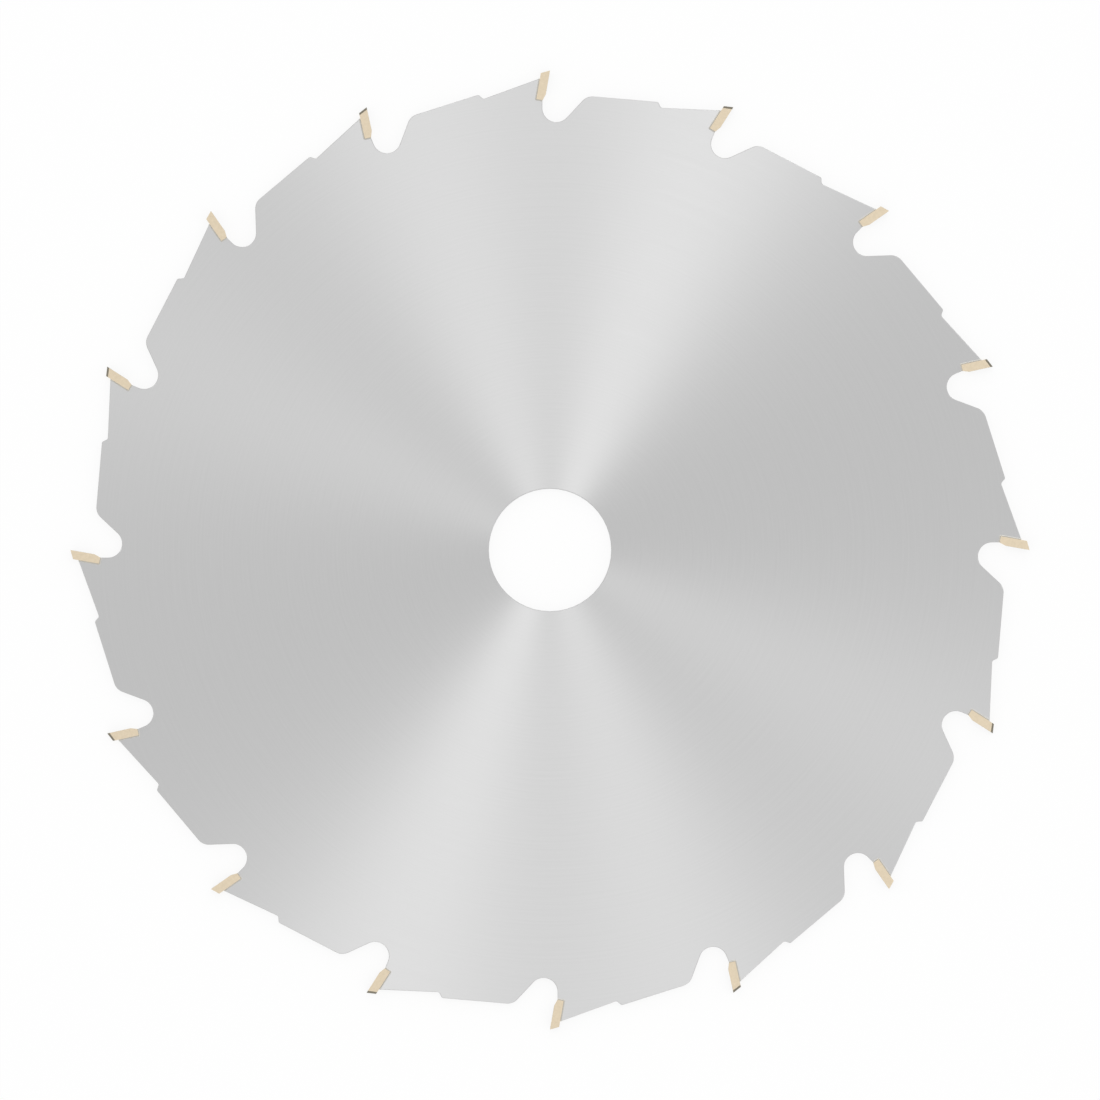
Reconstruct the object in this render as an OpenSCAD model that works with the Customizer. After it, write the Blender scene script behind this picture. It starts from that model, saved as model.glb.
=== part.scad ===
// Circular saw blade with brazed carbide tips, lying flat.
// The origin is the centre of the bore at half the plate's thickness, and +Z is the bore's axis.
// Seen from +Z the blade cuts clockwise, and the first tooth has its cutting edge on +Y.

/* [Plate] */
// Diameter over the cutting edges
blade_d = 235; // [200:1:270]
// Diameter of the arbor bore
bore_d = 30; // [16:0.1:40]
// Thickness of the steel plate
plate_t = 1.8; // [1.4:0.1:2.2]
// Chamfer on both edges of the bore
bore_chamfer = 0.2; // [0.05:0.05:0.4]
// Number of teeth, an even number because the tips alternate
teeth = 16; // [12:2:20]

/* [Carbide tips] */
// Width of a tip at its cutting edge, which is the width of the cut
kerf = 2.8; // [2.4:0.1:3.6]
// Thickness of a tip from its front face to its back
tip_t = 2.1; // [1.6:0.1:2.6]
// Length of a tip along its front face
tip_l = 7.5; // [6:0.1:9]
// Length of the chamfer on the inner front corner of a tip
toe_l = 1.6; // [0.5:0.1:2.5]
// Depth of that chamfer, which is also how far the plate is set back under the tip
toe_depth = 0.55; // [0.3:0.05:1]
// Lean of the front face from the radius, in degrees
rake = 10; // [0:1:20]
// Fall of the top behind the cutting edge, in degrees
top_clearance = 15; // [8:1:20]
// Slope of the top across the tip, in degrees, to one side and the other by turns
top_bevel = 12; // [4:1:20]
// Narrowing of each side of a tip towards the bore, in degrees
radial_clearance = 1; // [0.5:0.25:1.5]
// Narrowing of each side of a tip towards its back, in degrees
tangential_clearance = 2.5; // [1:0.25:4]
// Length of a tip's back that stands out of the plate
tip_proud = 1.45; // [0.8:0.05:2.4]
// Thickness of the braze between a tip and its seat
braze_t = 0.15; // [0.05:0.05:0.3]

/* [Gullets and limiters] */
// Height of the straight wall between a tip's seat and the gullet root
lip_h = 1.75; // [0.5:0.05:3]
// Radius of the gullet root
gullet_r = 3.45; // [2.5:0.05:4.5]
// Slope of the ramp out of the gullet, in degrees
ramp_angle = 47; // [38:1:55]
// Depth of the limiter's shoulder below the cutting edges
limiter_drop = 5.85; // [4.5:0.05:7]
// Radius of the limiter's shoulder
shoulder_r = 3.3; // [1:0.1:4.5]
// Length of the relief flank from the seat back to the step
flank_l = 14.6; // [10:0.1:17]
// Fall of the relief flank behind the tip, in degrees
flank_angle = 20; // [15:1:25]
// Height of the step between flank and limiter
step_h = 1.4; // [0.8:0.1:2.2]
// Slope of the step's face from the flank, in degrees
step_angle = 62; // [45:1:85]
// Radius of the step's crest
crest_r = 0.6; // [0.1:0.1:0.8]
// Radius of the step's foot
foot_r = 0.8; // [0.1:0.1:1.2]

/* [Hidden] */
// Largest turn between two neighbouring points of a rounded corner, in degrees
arc_step = 7.5;
$fn = 128;

cutting_r = blade_d / 2;
pitch = 360 / teeth;
// Room that a grinding cut takes beyond a tip on every side
cut_room = tip_l + kerf;

// Fall of a tip's top along its back, and the point on the back where the plate begins
top_fall = tip_t * tan(rake + top_clearance);
flank_start = top_fall + tip_proud;
seat_depth = tip_l + braze_t;
seat_back = tip_t + braze_t;

function tip_name(i) = str("carbide_tip_", i < 9 ? "0" : "", i + 1);
function braze_name(i) = str("braze_joint_", i < 9 ? "0" : "", i + 1);
tooth_list = [for (i = [0 : teeth - 1]) i];

// Unit vector at an angle, and a point turned about the blade's axis
function heading(angle) = [cos(angle), sin(angle)];
function turned(p, angle) =
    [p.x * cos(angle) - p.y * sin(angle), p.x * sin(angle) + p.y * cos(angle)];

// A point of the tip from the cutting edge: down along the front face, then back from it
function tip_point(down, back) = down * heading(-90 - rake) + back * heading(180 - rake);
// The same point in the blade's frame, on the tooth at +Y
function tooth_point(down, back) = [0, cutting_r] + tip_point(down, back);

// Points along an arc, both ends included
function arc(centre, r, from, to) =
    let (steps = max(1, ceil(abs(to - from) / arc_step)))
    [for (k = [0 : steps]) centre + r * heading(from + (to - from) * k / steps)];

// A corner rounded by an arc that is tangent to the lines to its two neighbours
function rounded(before, corner, after, r) =
    let (
        a = (before - corner) / norm(before - corner),
        b = (after - corner) / norm(after - corner),
        half = acos(a * b) / 2,
        middle = (a + b) / norm(a + b),
        centre = corner + middle * r / sin(half),
        // The arc turns by what is left of a half turn, to the side of the corner that it is on
        side = sign(a.x * b.y - a.y * b.x),
        bisector = atan2(-middle.y, -middle.x),
        swing = side * (90 - half)
    )
    arc(centre, r, bisector + swing, bisector - swing);

// Corners of one tooth, in its own frame, each before it is rounded
flank_top = tooth_point(flank_start, seat_back);
seat_corner = tooth_point(seat_depth, seat_back);
lip = tooth_point(seat_depth, toe_depth);
gullet_centre = lip + [gullet_r, -lip_h];
step_foot = flank_top + flank_l * heading(180 + flank_angle);
step_crest = step_foot + step_h / sin(step_angle) * heading(180 + flank_angle - step_angle);

// The ramp leaves the gullet root on a tangent and rises to the shoulder's own radius
ramp_start = gullet_centre + gullet_r * heading(ramp_angle - 90);
ramp_rise = ramp_start * heading(ramp_angle);
shoulder_radius = cutting_r - limiter_drop;
ramp_l = sqrt(ramp_rise ^ 2 + shoulder_radius ^ 2 - ramp_start * ramp_start) - ramp_rise;
shoulder = ramp_start + ramp_l * heading(ramp_angle);

// The limiter's land is a straight line from the shoulder to the step of the following tooth
land_end = turned(step_crest, -pitch);
land_start = turned(shoulder, pitch);

// Outline of one tooth, clockwise from the step behind it to the shoulder ahead of it
tooth_outline = concat(
    rounded(land_start, step_crest, step_foot, crest_r),
    rounded(step_crest, step_foot, flank_top, foot_r),
    [flank_top, seat_corner, lip],
    arc(gullet_centre, gullet_r, 180, 270 + ramp_angle),
    rounded(ramp_start, shoulder, land_end, shoulder_r)
);

// Places something that is drawn about the cutting edge on one tooth
module on_tooth(i) {
    rotate(-i * pitch)
        translate([0, cutting_r, 0])
            children();
}

// The bore and its chamfers, which slope at 45 degrees and run on past the plate's faces
module bore_cut() {
    cylinder(d = bore_d, h = 2 * plate_t, center = true);
    for (side = [0, 1])
        mirror([0, 0, side])
            translate([0, 0, plate_t / 2 - bore_chamfer])
                cylinder(d1 = bore_d, d2 = bore_d + 4 * bore_chamfer, h = 2 * bore_chamfer);
}

module blade_plate() {
    color("#CDCDCD")
        difference() {
            linear_extrude(plate_t, center = true)
                polygon([for (i = tooth_list) for (p = tooth_outline) turned(p, -i * pitch)]);
            bore_cut();
        }
}

// Takes away all that lies above a side face, which leans in from the cutting edge
module side_grind() {
    translate([0, 0, kerf / 2])
        rotate([0, 0, -rake])
            rotate([radial_clearance, -tangential_clearance, 0])
                translate([-cut_room, -cut_room, 0])
                    cube([2 * cut_room, 2 * cut_room, cut_room]);
}

// Takes away all that lies above the top, which falls from the upper side to the lower
module top_grind() {
    translate([0, 0, kerf / 2])
        rotate([0, 0, top_clearance])
            rotate([-top_bevel, 0, 0])
                translate([-cut_room, 0, -cut_room])
                    cube([2 * cut_room, cut_room, 2 * cut_room]);
}

module tip_blank() {
    linear_extrude(kerf, center = true)
        polygon([
            tip_point(0, 0),
            tip_point(tip_l - toe_l, 0),
            tip_point(tip_l, toe_depth),
            tip_point(tip_l, tip_t),
            tip_point(top_fall, tip_t)
        ]);
}

module ground_tip() {
    difference() {
        tip_blank();
        side_grind();
        mirror([0, 0, 1]) side_grind();
        top_grind();
    }
}

module carbide_tip(i) {
    color("#E1D1B7")
        on_tooth(i)
            if (i % 2 == 0)
                ground_tip();
            else
                mirror([0, 0, 1]) ground_tip();
}

module braze_joint(i) {
    color("#A89F8E")
        on_tooth(i)
            linear_extrude(plate_t, center = true)
                polygon([
                    tip_point(flank_start, tip_t),
                    tip_point(tip_l, tip_t),
                    tip_point(tip_l, toe_depth),
                    tip_point(seat_depth, toe_depth),
                    tip_point(seat_depth, seat_back),
                    tip_point(flank_start, seat_back)
                ]);
}

blade_plate();
for (i = tooth_list) {
    carbide_tip(i);
    braze_joint(i);
}
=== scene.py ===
# %% [markdown]
# # A circular saw blade with brazed carbide tips
#
# The blade is one thin steel disc with sixteen teeth. Each tooth carries a small block of tungsten
# carbide, held in its seat by a thin joint of braze. The shapes and sizes come from a CAD model, which is
# loaded first and stays where it is. This lesson dresses it: it breaks the plate's sharp edges, rounds the
# pressed corners of the tips, lets the braze run out into small fillets, and gives each surface the finish
# that its making leaves on it.

# %% Load the CAD model
import math
from collections import Counter
import bpy
from mathutils import Matrix, Vector


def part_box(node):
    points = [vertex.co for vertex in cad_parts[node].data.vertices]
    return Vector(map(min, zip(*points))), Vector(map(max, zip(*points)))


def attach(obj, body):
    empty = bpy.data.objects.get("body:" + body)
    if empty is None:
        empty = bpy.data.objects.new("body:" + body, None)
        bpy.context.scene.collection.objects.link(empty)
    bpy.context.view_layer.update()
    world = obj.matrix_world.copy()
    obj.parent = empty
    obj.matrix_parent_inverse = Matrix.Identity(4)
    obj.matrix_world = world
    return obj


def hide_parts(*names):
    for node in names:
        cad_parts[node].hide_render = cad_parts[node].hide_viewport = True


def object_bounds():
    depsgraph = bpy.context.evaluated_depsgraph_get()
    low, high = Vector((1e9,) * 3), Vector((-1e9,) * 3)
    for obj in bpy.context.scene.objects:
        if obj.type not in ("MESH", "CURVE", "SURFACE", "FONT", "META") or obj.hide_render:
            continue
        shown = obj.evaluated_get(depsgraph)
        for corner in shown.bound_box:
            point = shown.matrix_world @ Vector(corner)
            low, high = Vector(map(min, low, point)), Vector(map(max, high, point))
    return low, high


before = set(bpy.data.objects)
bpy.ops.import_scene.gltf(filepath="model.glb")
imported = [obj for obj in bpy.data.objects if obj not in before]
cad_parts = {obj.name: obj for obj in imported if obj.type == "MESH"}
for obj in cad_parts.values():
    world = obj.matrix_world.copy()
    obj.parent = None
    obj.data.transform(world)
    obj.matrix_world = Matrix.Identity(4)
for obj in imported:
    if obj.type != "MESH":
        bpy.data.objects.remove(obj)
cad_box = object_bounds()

MM = 0.001
TEETH = 16
plate_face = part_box("blade_plate")[1].z
floor_height = cad_box[0].z
print("CAD nodes:", len(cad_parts), "plate faces at", round(plate_face / MM, 3), "mm")

# %% [markdown]
# ## The camera
#
# The blade lies flat, so the camera hangs over the bore and looks straight down. The picture is square, and
# a strip 269.55 mm wide fills it at the plate's upper face. A long lens from a good way off shows the teeth
# at the rim as squarely as the bore in the middle; a short lens close by would show the gullet walls too.

# %% Camera
picture_width = 269.55 * MM
camera_height = 4.0
sensor_mm = 36
farthest_seen = 20.0
bpy.ops.object.select_all(action="DESELECT")
bpy.ops.object.camera_add(location=(0, 0, camera_height), rotation=(0, 0, 0))
camera = bpy.context.object
camera.name = "overhead_camera"
camera.data.sensor_width = sensor_mm
camera.data.lens = sensor_mm * (camera_height - plate_face) / picture_width
camera.data.clip_end = farthest_seen
bpy.context.scene.camera = camera
bpy.context.scene.view_settings.view_transform = "Standard"
print("Lens:", round(camera.data.lens, 1), "mm")

# %% [markdown]
# ## Helpers for every material
#
# Blender's sockets hold linear colour, and a paint chart or a picture gives sRGB, so one function turns hex
# values into linear ones. A material is a small graph of nodes. One function adds a node, sets its own
# settings, and for each input either sets a value or links another node's socket. A third starts a new
# material and hands back its graph and its main shader.

# %% Colour and node helpers
def linear(hex_colour):
    """An sRGB hex colour as linear red, green, blue and alpha."""
    shares = [int(hex_colour[start:start + 2], 16) / 255 for start in (1, 3, 5)]
    return [s / 12.92 if s <= 0.04045 else ((s + 0.055) / 1.055) ** 2.4 for s in shares] + [1.0]


def add_node(tree, kind, settings=None, inputs=None):
    """A new node, with its own settings, and with inputs that are values or sockets to link."""
    made = tree.nodes.new(kind)
    for name, value in (settings or {}).items():
        setattr(made, name, value)
    for name, value in (inputs or {}).items():
        if isinstance(value, bpy.types.NodeSocket):
            tree.links.new(value, made.inputs[name])
        else:
            made.inputs[name].default_value = value
    return made


def new_finish(name):
    """A new material with its node tree and its Principled shader."""
    material = bpy.data.materials.new(name)
    material.use_nodes = True
    return material, material.node_tree, material.node_tree.nodes["Principled BSDF"]


print("Mid grey is", [round(c, 3) for c in linear("#808080")[:3]])

# %% [markdown]
# ## The floor
#
# The blade rests on a plain white table. To the camera, and in what the metal mirrors, most of the table's
# white is its own, so that the ground of the picture stays white. The rest is lit, so that the blade still
# casts its soft shadow.

# %% Floor
floor_radius = 8.0
floor_sides = 96
own_white = 0.85
bpy.ops.object.select_all(action="DESELECT")
bpy.ops.mesh.primitive_circle_add(vertices=floor_sides, radius=floor_radius, fill_type="NGON",
                                  location=(0, 0, floor_height))
floor = bpy.context.object
floor.name = "white_table"

table_white, tree, shader = new_finish("matt_white_laminate")
shader.inputs["Base Color"].default_value = linear("#FCFCFC")
shader.inputs["Roughness"].default_value = 0.9
shader.inputs["Specular IOR Level"].default_value = 0.1
glow = add_node(tree, "ShaderNodeEmission", inputs={"Color": linear("#FFFFFF"), "Strength": 1.0})
rays = add_node(tree, "ShaderNodeLightPath")
seen = add_node(tree, "ShaderNodeMath", {"operation": "MAXIMUM"},
                {0: rays.outputs["Is Camera Ray"], 1: rays.outputs["Is Glossy Ray"]})
seen = add_node(tree, "ShaderNodeMath", {"operation": "MAXIMUM"},
                {0: seen.outputs[0], 1: rays.outputs["Is Transmission Ray"]})
share = add_node(tree, "ShaderNodeMath", {"operation": "MULTIPLY"}, {0: seen.outputs[0], 1: own_white})
mixed = add_node(tree, "ShaderNodeMixShader",
                 inputs={0: share.outputs[0], 1: shader.outputs[0], 2: glow.outputs[0]})
tree.links.new(mixed.outputs[0], tree.nodes["Material Output"].inputs["Surface"])
floor.data.materials.append(table_white)
print("Floor at", round(floor_height / MM, 3), "mm")

# %% [markdown]
# ## The light
#
# A ground disc shows light as fans. Its scratches run in circles, so each point throws a lamp's light to
# the eye only where the lamp stands in line with the radius, and each lamp draws two opposite fans. Three
# soft boxes stand far off and high, at the bearings of the three pairs of fans, in an even pale room.
# Their strengths are set so that a white card lying on the table would be just white.

# %% Room and soft boxes
room_level = 0.88
room = bpy.data.worlds.new("pale_room")
room.use_nodes = True
room.node_tree.nodes["Background"].inputs["Color"].default_value = linear("#FFFFFF")
room.node_tree.nodes["Background"].inputs["Strength"].default_value = room_level
bpy.context.scene.world = room

box_distance = 8.0
box_half_angle = math.radians(4)
box_width = 2 * box_distance * math.tan(box_half_angle)
box_slant = math.radians(20)
# The bearing in degrees and the radiance of each box
soft_boxes = {"key_box": (68.7, 8.57), "second_box": (108.0, 6.65), "low_box": (333.7, 3.5)}
for name, (bearing, radiance) in soft_boxes.items():
    turn = math.radians(bearing)
    away = Vector((math.cos(turn) * math.sin(box_slant), math.sin(turn) * math.sin(box_slant),
                   math.cos(box_slant)))
    bpy.ops.object.select_all(action="DESELECT")
    bpy.ops.object.light_add(type="AREA", location=away * box_distance,
                             rotation=away.to_track_quat("Z", "Y").to_euler())
    lamp = bpy.context.object
    lamp.name = name
    lamp.data.shape = "SQUARE"
    lamp.data.size = box_width
    lamp.data.energy = radiance * math.pi * box_width ** 2
    print(name, "at", bearing, "degrees,", round(lamp.data.energy, 1), "W")

# %% [markdown]
# ## The plate with broken edges
#
# The plate is cut from sheet by laser and then ground flat, and its sharp rim is broken by a light brushing.
# The CAD plate is right apart from that last touch. A copy of it is merged into one skin, because a CAD node
# arrives as loose triangles, and the normals that came with it are cleared. Then the sharp edges that lie
# in the two flat faces are bevelled, which leaves a fine rounded break all round. The edges of the bore
# are left alone, since the CAD plate has a chamfer there, and so are the edges of the seats, which are full
# of braze. A seat's edge is known by its ends, which are corners of a CAD braze joint too.

# %% Helpers for working in edit mode
# How near two corners are merged, how far a place may be off, how near two corners count as the same one,
# and how little two faces may be turned to count as one flat face
merge_reach = 0.0005 * MM
slack = 0.001 * MM
corner_reach = 0.01 * MM
flat_turn = math.radians(0.2)


def merged_copy(node_name, name):
    """A copy of a CAD node, merged into one skin, with its flat faces joined up. It is the active object."""
    piece = bpy.data.objects.new(name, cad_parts[node_name].data.copy())
    bpy.context.scene.collection.objects.link(piece)
    piece.data.materials.clear()
    bpy.ops.object.select_all(action="DESELECT")
    piece.select_set(True)
    bpy.context.view_layer.objects.active = piece
    bpy.ops.mesh.customdata_custom_splitnormals_clear()
    bpy.ops.object.mode_set(mode="EDIT")
    bpy.ops.mesh.select_all(action="SELECT")
    bpy.ops.mesh.remove_doubles(threshold=merge_reach)
    bpy.ops.mesh.dissolve_limited(angle_limit=flat_turn)
    bpy.ops.object.mode_set(mode="OBJECT")
    return piece


def select_only(piece, kind, wanted):
    """Selects the faces or edges of the active piece that are wanted, and returns their number."""
    bpy.ops.object.mode_set(mode="EDIT")
    bpy.ops.mesh.select_mode(type=kind)
    bpy.ops.mesh.select_all(action="DESELECT")
    bpy.ops.object.mode_set(mode="OBJECT")
    members = piece.data.polygons if kind == "FACE" else piece.data.edges
    for member in members:
        member.select = wanted(member)
    count = sum(member.select for member in members)
    bpy.ops.object.mode_set(mode="EDIT")
    return count


def edge_ends(piece, edge):
    """The places of an edge's two ends."""
    return [piece.data.vertices[number].co for number in edge.vertices]


def runs_through(piece, edge):
    """True for an edge that runs straight through the thickness."""
    first, second = edge_ends(piece, edge)
    return (first - second).xy.length < slack


print("Corners closer than", merge_reach / MM, "mm are merged")

# %% Break the plate's edges
edge_break = 0.12 * MM
break_steps = 2
bore_reach = 20 * MM
sharp_turn = math.radians(60)
plate_shading = math.radians(15)
plate = merged_copy("blade_plate", "ground_plate")
bpy.ops.object.mode_set(mode="EDIT")
bpy.ops.mesh.select_mode(type="EDGE")
bpy.ops.mesh.select_all(action="DESELECT")
bpy.ops.mesh.edges_select_sharp(sharpness=sharp_turn)
bpy.ops.object.mode_set(mode="OBJECT")
sharp = {edge.index for edge in plate.data.edges if edge.select}
joint_corners = [corner.co for number in range(1, TEETH + 1)
                 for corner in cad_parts[f"braze_joint_{number:02d}"].data.vertices]


def in_a_seat(edge):
    """True for an edge of the plate with both its ends at corners of a braze joint."""
    return all(any((end - corner).length < corner_reach for corner in joint_corners)
               for end in edge_ends(plate, edge))


def on_the_rim(edge):
    """True for a sharp edge that lies in one of the flat faces, away from the bore."""
    level = all(abs(abs(end.z) - plate_face) < slack for end in edge_ends(plate, edge))
    outside = all(end.xy.length > bore_reach for end in edge_ends(plate, edge))
    return edge.index in sharp and level and outside and not in_a_seat(edge)


rim_edges = select_only(plate, "EDGE", on_the_rim)
bpy.ops.mesh.bevel(offset=edge_break, segments=break_steps, profile=0.5, affect="EDGES", clamp_overlap=False)
bpy.ops.object.mode_set(mode="OBJECT")
bpy.ops.object.shade_smooth_by_angle(angle=plate_shading)
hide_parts("blade_plate")
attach(plate, "root")
print("Plate:", rim_edges, "rim edges broken,", len(plate.data.polygons), "faces in all")

# %% [markdown]
# ## A map that follows the grinding
#
# A UV map lays a surface out flat. Other programs get the finishes as pictures on such a map, and they take
# the way of the grinding from it too. So the flat faces are laid out as if the disc were slit along a radius
# and unrolled: U runs round the bore and V runs outwards. Inside one face a map can only be straight, so
# both flat faces are first cut into narrow sectors, one to each side of the 128-sided bore. The walls and
# the broken edges take the rest of the map, where Smart UV Project lays them out.

# %% Cut the flat faces into sectors
SECTORS = 128
# A flat face has nearly all of its normal along Z
flat_look = 0.999


def flat(face):
    """True for a face that lies in one of the plate's two flat sides."""
    return abs(face.normal.z) > flat_look


def along_a_radius(edge):
    """True for an edge that runs straight out from the bore."""
    first, second = (end.xy for end in edge_ends(plate, edge))
    return abs(first.cross(second)) < slack * max(first.length, second.length)


for cut in range(SECTORS // 2):
    turn = 2 * math.pi * cut / SECTORS
    select_only(plate, "FACE", flat)
    bpy.ops.mesh.bisect(plane_co=(0, 0, 0), plane_no=(-math.sin(turn), math.cos(turn), 0),
                        threshold=merge_reach)
bpy.ops.object.mode_set(mode="OBJECT")
flat_keys = Counter(key for face in plate.data.polygons if flat(face) for key in face.edge_keys)


def old_seam(edge):
    """True for an edge inside a flat side that was there before the cuts."""
    return flat_keys[edge.key] == 2 and not along_a_radius(edge)


old_seams = select_only(plate, "EDGE", old_seam)
bpy.ops.mesh.dissolve_edges(use_verts=False)
bpy.ops.object.mode_set(mode="OBJECT")
print("Sectors:", sum(flat(face) for face in plate.data.polygons), "old seams gone:", old_seams)

# %% Lay out the map
# Shares of the map's height, for each flat side and for the walls
flat_share = 0.39
wall_share = 0.2
project_turn = math.radians(66)
island_gap = 0.002
plate.data.uv_layers.new(name="OFBake")
select_only(plate, "FACE", lambda face: not flat(face))
bpy.ops.uv.smart_project(angle_limit=project_turn, island_margin=island_gap, scale_to_bounds=True)
bpy.ops.object.mode_set(mode="OBJECT")
reaches = [corner.co.xy.length for corner in plate.data.vertices]
hole, rim = min(reaches), max(reaches)
map_places = plate.data.uv_layers["OFBake"].data
for face in plate.data.polygons:
    side = 1 if face.normal.z > 0 else -1
    start = 0 if side > 0 else 1 - wall_share - flat_share
    middle = math.atan2(face.center.y, face.center.x)
    for number in face.loop_indices:
        spot = plate.data.vertices[plate.data.loops[number].vertex_index].co.xy
        if flat(face):
            off_middle = Matrix.Rotation(-middle, 2) @ spot
            turn = middle + math.atan2(off_middle.y, off_middle.x)
            map_places[number].uv = (0.5 - side * turn / (2 * math.pi),
                                     start + flat_share * (spot.length - hole) / (rim - hole))
        else:
            map_places[number].uv.y = 1 - wall_share + wall_share * map_places[number].uv.y
print("Map of", len(map_places), "corners, from", round(hole / MM, 2), "to", round(rim / MM, 2), "mm")

# %% [markdown]
# ## Steel ground in circles
#
# The faces of the plate are hardened steel, ground while the disc turns. The grit leaves fine scratches
# round the bore. Across a scratch the surface tilts widely, along it hardly at all, so a highlight smears
# out along the radius. The shader's anisotropy does that. Its tangent runs along the scratches, round the
# bore, and a rotation of a quarter turn lays the smear across them.
# Real scratches are finer than a pixel here, so the ones that show are drawn about half a millimetre wide.
# A noise draws them. Its places are wound up: one step outwards from the bore is a long way in the noise,
# and one turn round the bore is a short way, so that its grains are drawn out into circles.

# %% Circles about the bore
def circle_track(tree, place, width, turns, start=(0.0, 0.0)):
    """Places in a noise that make its grains circles about the bore, and the way outwards from the bore."""
    parts = add_node(tree, "ShaderNodeSeparateXYZ", inputs={"Vector": place})
    level = add_node(tree, "ShaderNodeCombineXYZ",
                     inputs={"X": parts.outputs["X"], "Y": parts.outputs["Y"]}).outputs[0]
    radius = add_node(tree, "ShaderNodeVectorMath", {"operation": "LENGTH"}, {0: level}).outputs["Value"]
    outward = add_node(tree, "ShaderNodeVectorMath", {"operation": "NORMALIZE"}, {0: level}).outputs["Vector"]
    across = add_node(tree, "ShaderNodeMath", {"operation": "DIVIDE"}, {0: radius, 1: width}).outputs[0]
    around = add_node(tree, "ShaderNodeVectorMath", {"operation": "SCALE"},
                      {0: outward, "Scale": turns}).outputs["Vector"]
    steps = add_node(tree, "ShaderNodeCombineXYZ",
                     inputs={"X": start[0], "Y": start[1], "Z": across}).outputs[0]
    track = add_node(tree, "ShaderNodeVectorMath", {"operation": "ADD"}, {0: around, 1: steps})
    return track.outputs["Vector"], outward


print("A turn at the rim is", round(2 * math.pi * rim / MM), "mm long")

# %% Ground steel
scratch_width = 0.5 * MM
scratch_turns = 3.3
# Where in the noise the scratches lie
scratch_start = (7.37, 5.71)
scratch_depth = 0.001 * MM
grinding_smear = 0.983
quarter_turn = 0.25
ground_steel, tree, shader = new_finish("circular_ground_steel")
place = add_node(tree, "ShaderNodeTexCoord").outputs["Object"]
track, outward = circle_track(tree, place, scratch_width, scratch_turns, scratch_start)
scratches = add_node(tree, "ShaderNodeTexNoise",
                     inputs={"Vector": track, "Scale": 1.0, "Detail": 3.0, "Roughness": 0.6}).outputs["Fac"]
tone = add_node(tree, "ShaderNodeMix", {"data_type": "RGBA"},
                {"Factor": scratches, "A": linear("#D3D3D3"), "B": linear("#DCDCDC")})
tree.links.new(tone.outputs["Result"], shader.inputs["Base Color"])
dullness = add_node(tree, "ShaderNodeMapRange",
                    inputs={"Value": scratches, "From Min": 0.25, "From Max": 0.75, "To Min": 0.398,
                            "To Max": 0.426}).outputs[0]
tree.links.new(dullness, shader.inputs["Roughness"])
along = add_node(tree, "ShaderNodeVectorMath", {"operation": "CROSS_PRODUCT"},
                 {0: (0, 0, 1), 1: outward}).outputs["Vector"]
tree.links.new(along, shader.inputs["Tangent"])
shader.inputs["Metallic"].default_value = 1.0
shader.inputs["Anisotropic"].default_value = grinding_smear
shader.inputs["Anisotropic Rotation"].default_value = quarter_turn
relief = add_node(tree, "ShaderNodeBump",
                  inputs={"Strength": 1.0, "Distance": scratch_depth, "Height": scratches})
tree.links.new(relief.outputs["Normal"], shader.inputs["Normal"])
plate.data.materials.append(ground_steel)
print("Made", ground_steel.name)

# %% [markdown]
# ## The laser-cut edge
#
# The walls of the gullets, the limiters and the bore keep the mark of the cutting beam: close upright lines
# through the thickness, a little darker and duller than the ground face. They are a few tenths of a
# millimetre apart. A noise that is stretched along the thickness gives such lines on any wall.

# %% Laser-cut steel
line_width = 0.3 * MM
line_length = 6 * MM
line_depth = 0.02 * MM
# A wall has less than half of its normal along Z
wall_tilt = 0.5
cut_steel, tree, shader = new_finish("laser_cut_steel_edge")
place = add_node(tree, "ShaderNodeTexCoord").outputs["Object"]
lines_place = add_node(tree, "ShaderNodeMapping",
                       inputs={"Vector": place, "Scale": (1 / line_width, 1 / line_width, 1 / line_length)})
lines = add_node(tree, "ShaderNodeTexNoise",
                 inputs={"Vector": lines_place.outputs[0], "Scale": 1.0, "Detail": 2.0}).outputs["Fac"]
tone = add_node(tree, "ShaderNodeMix", {"data_type": "RGBA"},
                {"Factor": lines, "A": linear("#A6A4A1"), "B": linear("#CBC9C6")})
tree.links.new(tone.outputs["Result"], shader.inputs["Base Color"])
shader.inputs["Metallic"].default_value = 1.0
shader.inputs["Roughness"].default_value = 0.42
relief = add_node(tree, "ShaderNodeBump",
                  inputs={"Strength": 1.0, "Distance": line_depth, "Height": lines})
tree.links.new(relief.outputs["Normal"], shader.inputs["Normal"])
plate.data.materials.append(cut_steel)
for face in plate.data.polygons:
    face.material_index = 1 if abs(face.normal.z) < wall_tilt else 0
print("Cut faces:", sum(face.material_index for face in plate.data.polygons))

# %% [markdown]
# ## The carbide tips
#
# Each tip is a block of tungsten carbide, pressed from powder and sintered, then brazed in and sharpened.
# A pressed block has slightly rounded corners where the wheel doesn't reach: at the toe and at the foot of
# its back. The CAD tips have sharp ones. There are two kinds of tip, with the top sloping to one side or to
# the other, so one of each is made from its CAD node. The corners that run straight through the thickness
# are rounded by a bevel, and the cutting edges stay sharp. The others are turned copies, two teeth apart.

# %% One tip of each kind
corner_round = 0.15 * MM
corner_steps = 4
tip_shading = math.radians(30)
pitch = 2 * math.pi / TEETH
first_tips = []
for number in (1, 2):
    tip = merged_copy(f"carbide_tip_{number:02d}", f"sharpened_tip_{number:02d}")
    corners = select_only(tip, "EDGE", lambda edge: runs_through(tip, edge))
    bpy.ops.mesh.bevel(offset=corner_round, segments=corner_steps, profile=0.5, affect="EDGES")
    bpy.ops.object.mode_set(mode="OBJECT")
    bpy.ops.object.shade_smooth_by_angle(angle=tip_shading)
    first_tips.append(tip)
    print(tip.name, "corners rounded:", corners, "faces:", len(tip.data.polygons))

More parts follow.
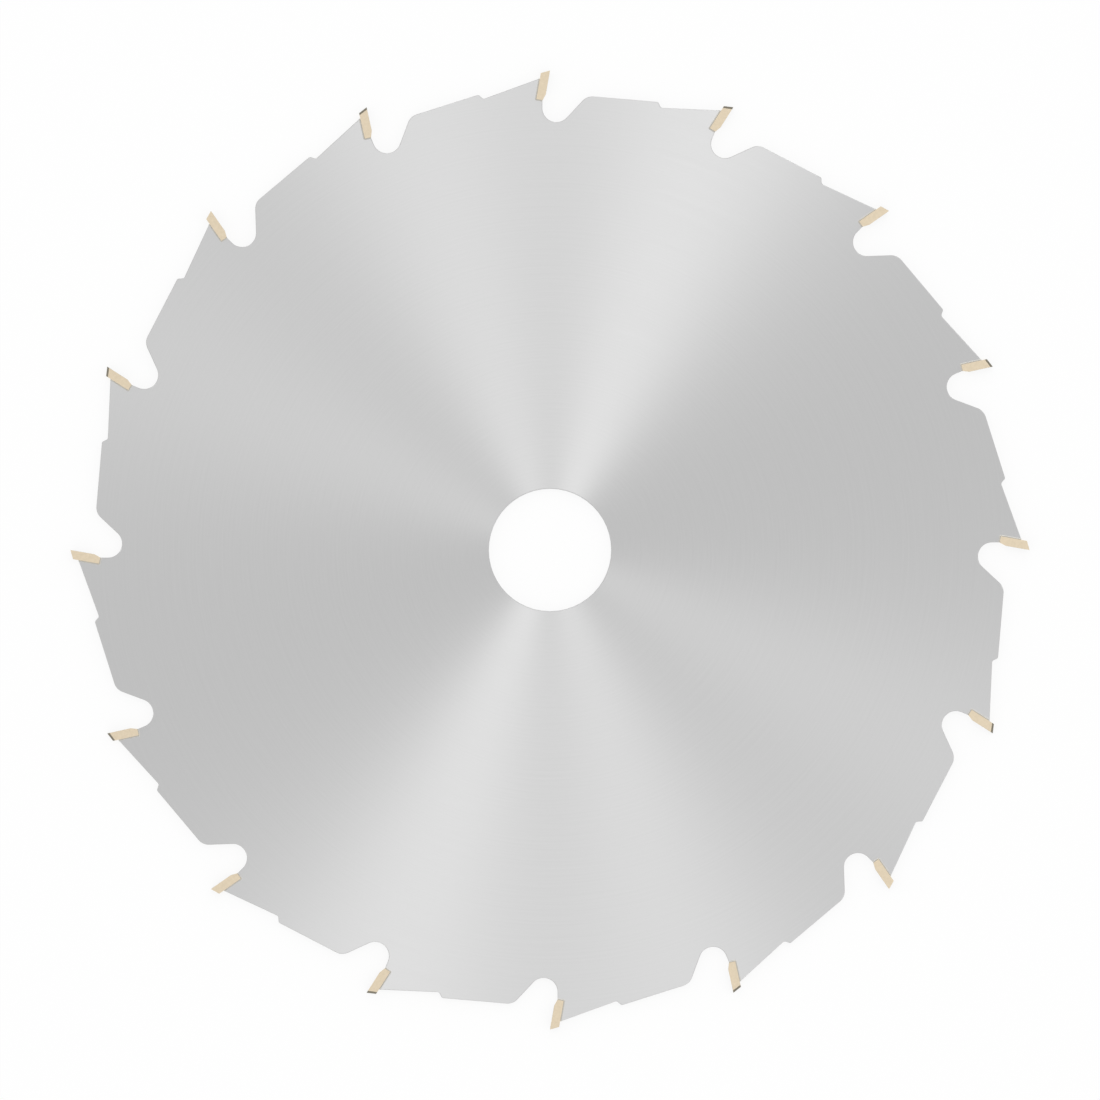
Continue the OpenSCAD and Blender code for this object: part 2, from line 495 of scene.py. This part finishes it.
# %% [markdown]
# ## Satin carbide and bare carbide
#
# The sides of a tip are ground by a fine wheel and come out satin and warm in colour, with close marks across
# the tip. Sintered powder isn't quite even, so a soft mottle of half a millimetre lies under the marks. The
# back and the toe have the same finish. The top and the front are ground last and show the bare carbide:
# grey and smooth, with fine marks through the thickness. Their specular tint is set below white, so that they
# turn dark where they are seen at a slant: painted shade, standing in for a dark reflection. Real wheel marks
# are a hundredth of a millimetre or two across. Both kinds are drawn coarser, so that they show in a close
# view.
#
# The sixteen tips point sixteen ways. The marks on their sides are drawn in circles about the bore, like the
# scratches on the plate, and so they lie across every tip alike.

# %% Satin carbide
side_mark = 0.05 * MM
side_mark_depth = 0.001 * MM
marks_around = 60
mottle = 0.5 * MM
mottle_share = 0.6
satin, tree, shader = new_finish("side_ground_tungsten_carbide")
place = add_node(tree, "ShaderNodeTexCoord").outputs["Object"]
track = circle_track(tree, place, side_mark, marks_around)[0]
marks = add_node(tree, "ShaderNodeTexNoise",
                 inputs={"Vector": track, "Scale": 1.0, "Detail": 2.0}).outputs["Fac"]
patches = add_node(tree, "ShaderNodeTexNoise",
                   inputs={"Vector": place, "Scale": 1 / mottle, "Detail": 2.0}).outputs["Fac"]
blend = add_node(tree, "ShaderNodeMix", {"data_type": "FLOAT"},
                 {"Factor": mottle_share, "A": marks, "B": patches}).outputs["Result"]
tone = add_node(tree, "ShaderNodeMix", {"data_type": "RGBA"},
                {"Factor": blend, "A": linear("#D3C6AE"), "B": linear("#EEE0C9")}).outputs["Result"]
tree.links.new(tone, shader.inputs["Base Color"])
dullness = add_node(tree, "ShaderNodeMapRange",
                    inputs={"Value": marks, "From Min": 0.25, "From Max": 0.75, "To Min": 0.56,
                            "To Max": 0.68}).outputs[0]
tree.links.new(dullness, shader.inputs["Roughness"])
shader.inputs["Metallic"].default_value = 1.0
relief = add_node(tree, "ShaderNodeBump",
                  inputs={"Strength": 1.0, "Distance": side_mark_depth, "Height": marks})
tree.links.new(relief.outputs["Normal"], shader.inputs["Normal"])
print("Made", satin.name)

# %% Bare carbide
wheel_mark = 0.06 * MM
wheel_mark_depth = 0.002 * MM
mark_length = 3 * MM
bare, tree, shader = new_finish("ground_tungsten_carbide")
place = add_node(tree, "ShaderNodeTexCoord").outputs["Object"]
marks_place = add_node(tree, "ShaderNodeMapping",
                       inputs={"Vector": place,
                               "Scale": (1 / wheel_mark, 1 / wheel_mark, 1 / mark_length)})
marks = add_node(tree, "ShaderNodeTexNoise",
                 inputs={"Vector": marks_place.outputs[0], "Scale": 1.0, "Detail": 2.0}).outputs["Fac"]
tone = add_node(tree, "ShaderNodeMix", {"data_type": "RGBA"},
                {"Factor": marks, "A": linear("#93908A"), "B": linear("#A19E98")}).outputs["Result"]
tree.links.new(tone, shader.inputs["Base Color"])
shader.inputs["Metallic"].default_value = 1.0
shader.inputs["Roughness"].default_value = 0.28
# The specular tint below white paints shade on the top and the front where they are seen at a slant
shader.inputs["Specular Tint"].default_value = linear("#B6B0A2")
relief = add_node(tree, "ShaderNodeBump",
                  inputs={"Strength": 1.0, "Distance": wheel_mark_depth, "Height": marks})
tree.links.new(relief.outputs["Normal"], shader.inputs["Normal"])
print("Made", bare.name)

# %% Sixteen tips
# The least shares of a normal along the way of cutting and towards the rim
front_look = 0.95
top_look = 0.8


def turned_copy(piece, name, teeth_on):
    """A copy of a piece with its own mesh, turned clockwise about the bore by so many teeth."""
    copy = bpy.data.objects.new(name, piece.data.copy())
    bpy.context.scene.collection.objects.link(copy)
    copy.data.transform(Matrix.Rotation(-teeth_on * pitch, 4, "Z"))
    return copy


for teeth_on, tip in enumerate(first_tips):
    tip.data.materials.append(satin)
    tip.data.materials.append(bare)
    cutting_way = Vector((math.cos(teeth_on * pitch), -math.sin(teeth_on * pitch), 0))
    rim_way = Vector((math.sin(teeth_on * pitch), math.cos(teeth_on * pitch), 0))
    for face in tip.data.polygons:
        front = face.normal.dot(cutting_way) > front_look
        top = face.normal.dot(rim_way) > top_look
        face.material_index = 1 if front or top else 0
for number in range(1, TEETH + 1):
    first = (number - 1) % 2
    piece = first_tips[first]
    if number > 2:
        piece = turned_copy(piece, f"sharpened_tip_{number:02d}", number - 1 - first)
    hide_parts(f"carbide_tip_{number:02d}")
    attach(piece, "root")
print("Tips:", TEETH)

# %% [markdown]
# ## The braze and its fillets
#
# Molten filler is drawn into the gap behind and under a tip. What is left over climbs the tip's walls and
# runs out on the plate in a small hollow fillet, as water does in the corner of a glass. The CAD joint is
# the layer in the gap. A copy of it is filled out in its inner corner, where the tip is rounded. Then it is
# pulled up on both faces, the new outer walls are pulled out over the plate, their corner is rounded, and
# the outer edge is cut away in a hollow bevel. A bevel cuts as much from the top as from the wall, and a
# fillet is wider than high, so it is made as high as wide and then pressed down. One joint is modelled, and
# fifteen are turned copies of it.

# %% Places on the first joint
fillet_rise = 0.25 * MM
fillet_run = 0.20 * MM
fillet_width = 0.35 * MM
joint = merged_copy("braze_joint_01", "braze_fillet_01")
layer_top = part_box("braze_joint_01")[1].z
tip_low, tip_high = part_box("carbide_tip_01")
tip_middle = (tip_low + tip_high) / 2
uprights = [edge_ends(joint, edge)[0].xy.copy() for edge in joint.data.edges if runs_through(joint, edge)]
outer_corner = max(uprights, key=lambda spot: (spot - tip_middle.xy).length)
inner_corner = min((spot for spot in uprights if spot != outer_corner),
                   key=lambda spot: (spot - outer_corner).length)
corner_way = (outer_corner - inner_corner).normalized()


def at_inner_corner(edge):
    """True for the upright edge that faces the foot of the tip's back."""
    near = (edge_ends(joint, edge)[0].xy - inner_corner).length < corner_reach
    return near and runs_through(joint, edge)


filled = select_only(joint, "EDGE", at_inner_corner)
bpy.ops.mesh.bevel(offset=corner_round, segments=corner_steps, profile=0.5, affect="EDGES")
bpy.ops.object.mode_set(mode="OBJECT")
print("Inner corners filled:", filled, "gap", round((inner_corner - outer_corner).length / MM, 3), "mm")

# %% Telling the joint's faces and edges apart
# An end has most of its normal along Z, a wall hardly any, and an outer wall half of it away from the tip
end_look = 0.9
wall_look = 0.1
away_look = 0.5


def end_face(face, side):
    """True for the face that closes the joint on one side of the plate."""
    return face.normal.z * side > end_look and face.center.z * side > layer_top - slack


def outer_wall(face, side):
    """True for a wall of the raised part that looks away from the tip."""
    raised = face.center.z * side > layer_top
    looks_away = face.normal.xy.dot(corner_way) > away_look
    return raised and looks_away and abs(face.normal.z) < wall_look


def raised_corner(edge, side):
    """True for the upright edge where the two walls that were pulled out meet."""
    ends = edge_ends(joint, edge)
    raised = all(end.z * side > layer_top - slack for end in ends)
    near = (ends[0].xy - outer_corner).length < 2 * fillet_run
    return raised and near and runs_through(joint, edge)


def raised_face(face, side):
    """True for a face that stands above the plate on one side."""
    return all(joint.data.vertices[spot].co.z * side > layer_top - slack for spot in face.vertices)


def edges_of(faces):
    """The edges of some faces, each given by its two ends."""
    return {key for face in faces for key in face.edge_keys}


print("Ends of the layer:", sum(end_face(face, 1) or end_face(face, -1) for face in joint.data.polygons))

# %% Fillets on both faces
outer_round = 0.45 * MM
hollow_cut = 0.34 * MM
hollow_shape = 0.086
round_steps = 6
for side in (1, -1):
    select_only(joint, "FACE", lambda face: end_face(face, side))
    bpy.ops.mesh.extrude_region_move(TRANSFORM_OT_translate={"value": (0, 0, side * fillet_width)})
    walls = select_only(joint, "FACE", lambda face: outer_wall(face, side))
    bpy.ops.mesh.extrude_region_shrink_fatten(
        TRANSFORM_OT_shrink_fatten={"value": fillet_run, "use_even_offset": True})
    bpy.ops.mesh.select_all(action="SELECT")
    bpy.ops.mesh.dissolve_limited(angle_limit=flat_turn)
    corners = select_only(joint, "EDGE", lambda edge: raised_corner(edge, side))
    bpy.ops.mesh.bevel(offset=outer_round, segments=round_steps, profile=0.5, affect="EDGES",
                       clamp_overlap=False)
    bpy.ops.object.mode_set(mode="OBJECT")
    top_edges = edges_of(face for face in joint.data.polygons if end_face(face, side))
    wall_edges = edges_of(face for face in joint.data.polygons if outer_wall(face, side))
    crests = select_only(joint, "EDGE", lambda edge: edge.key in top_edges & wall_edges)
    bpy.ops.mesh.bevel(offset=hollow_cut, segments=round_steps, profile=hollow_shape, affect="EDGES",
                       clamp_overlap=False)
    select_only(joint, "FACE", lambda face: raised_face(face, side))
    bpy.ops.transform.resize(value=(1, 1, fillet_rise / fillet_width),
                             center_override=(0, 0, side * layer_top))
    bpy.ops.object.mode_set(mode="OBJECT")
    print("Side", side, "walls:", walls, "corners:", corners, "crests hollowed:", crests)

# %% Close up the joint
joint_shading = math.radians(40)
bpy.ops.object.mode_set(mode="EDIT")
bpy.ops.mesh.select_all(action="SELECT")
bpy.ops.mesh.remove_doubles(threshold=merge_reach)
bpy.ops.mesh.normals_make_consistent(inside=False)
bpy.ops.object.mode_set(mode="OBJECT")
bpy.ops.object.shade_smooth_by_angle(angle=joint_shading)
print("Joint faces:", len(joint.data.polygons), "box", [round(v / MM, 3) for v in joint.dimensions])

# %% [markdown]
# ## Silver braze
#
# The filler is a silver alloy with copper and zinc. It sets with a faintly rippled skin, and the blasting
# that cleans off the flux leaves it dull. Its tone is drawn a warm grey, a little darker than the ground
# plate.

# %% Silver braze
ripple = 0.4 * MM
ripple_depth = 0.02 * MM
braze, tree, shader = new_finish("dull_silver_braze")
place = add_node(tree, "ShaderNodeTexCoord").outputs["Object"]
ripples = add_node(tree, "ShaderNodeTexNoise",
                   inputs={"Vector": place, "Scale": 1 / ripple, "Detail": 3.0}).outputs["Fac"]
tone = add_node(tree, "ShaderNodeMix", {"data_type": "RGBA"},
                {"Factor": ripples, "A": linear("#BBB7AF"), "B": linear("#D6D4CE")})
tree.links.new(tone.outputs["Result"], shader.inputs["Base Color"])
shader.inputs["Metallic"].default_value = 1.0
shader.inputs["Roughness"].default_value = 0.45
relief = add_node(tree, "ShaderNodeBump",
                  inputs={"Strength": 1.0, "Distance": ripple_depth, "Height": ripples})
tree.links.new(relief.outputs["Normal"], shader.inputs["Normal"])
joint.data.materials.append(braze)
print("Made", braze.name)

# %% Sixteen joints
for number in range(1, TEETH + 1):
    piece = joint
    if number > 1:
        piece = turned_copy(joint, f"braze_fillet_{number:02d}", number - 1)
    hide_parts(f"braze_joint_{number:02d}")
    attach(piece, "root")
print("Joints:", TEETH)

# %% [markdown]
# ## The size, and the end
#
# The dressed blade is meant to stay inside the CAD model's box, and that box is printed.

# %% Size of the CAD model
print("CAD box", [list(corner) for corner in cad_box])
